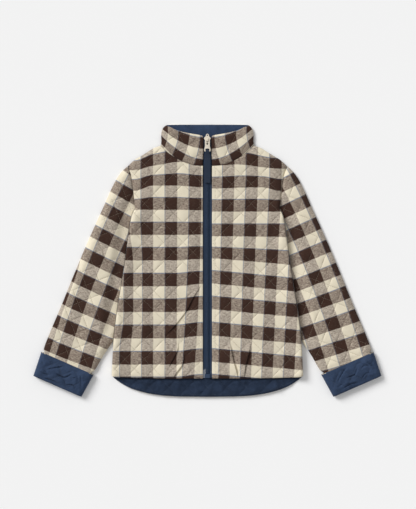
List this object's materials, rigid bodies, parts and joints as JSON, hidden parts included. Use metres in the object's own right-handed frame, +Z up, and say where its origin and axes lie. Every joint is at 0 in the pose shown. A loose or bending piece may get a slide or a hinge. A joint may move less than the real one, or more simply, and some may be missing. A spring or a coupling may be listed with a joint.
{
  "type": "reversible jacket",
  "caption": "Child's reversible quilted jacket laid flat and zipped up: checked flannel outside, navy lining shown on turned-back cuffs and tail hem, stand collar, zip with ribbon pull.",
  "frame": {"origin": "centre of the bounding box on the surface that the jacket lies on", "axes": "+X towards the wearer's left, +Y towards the collar, +Z up from the surface, out of the jacket's front"},
  "size_m": [0.6266, 0.4904, 0.0129],
  "materials": {
    "check_flannel": "brushed cotton check in cream and brown, quilted in diamonds",
    "navy_lining": "plain navy cotton, quilted in diamonds",
    "zip_tape": "woven navy tape",
    "zip_coil": "navy coil, satin",
    "zip_metal": "pale champagne plating, satin",
    "ribbon": "navy ribbed ribbon"
  },
  "bodies": {
    "jacket": {"back_panel": "navy_lining", "front_right": "check_flannel", "front_left": "check_flannel", "sleeve_right": "check_flannel", "sleeve_left": "check_flannel", "cuff_right": "navy_lining", "cuff_left": "navy_lining", "collar": "check_flannel", "zip_tape_right": "zip_tape", "zip_tape_left": "zip_tape", "zip_chain": "zip_coil", "zip_box": "zip_coil", "zip_slider": "zip_metal"},
    "pull": {"pull_tab": "zip_metal", "pull_ribbon": "ribbon"}
  },
  "joints": [
    {"name": "pull_tab_hinge", "type": "hinge", "parent": "jacket", "child": "pull", "pos_m": [0, 0.217, 0.0107], "axis": [-1, 0, 0], "range_deg": [0, 170]}
  ]
}
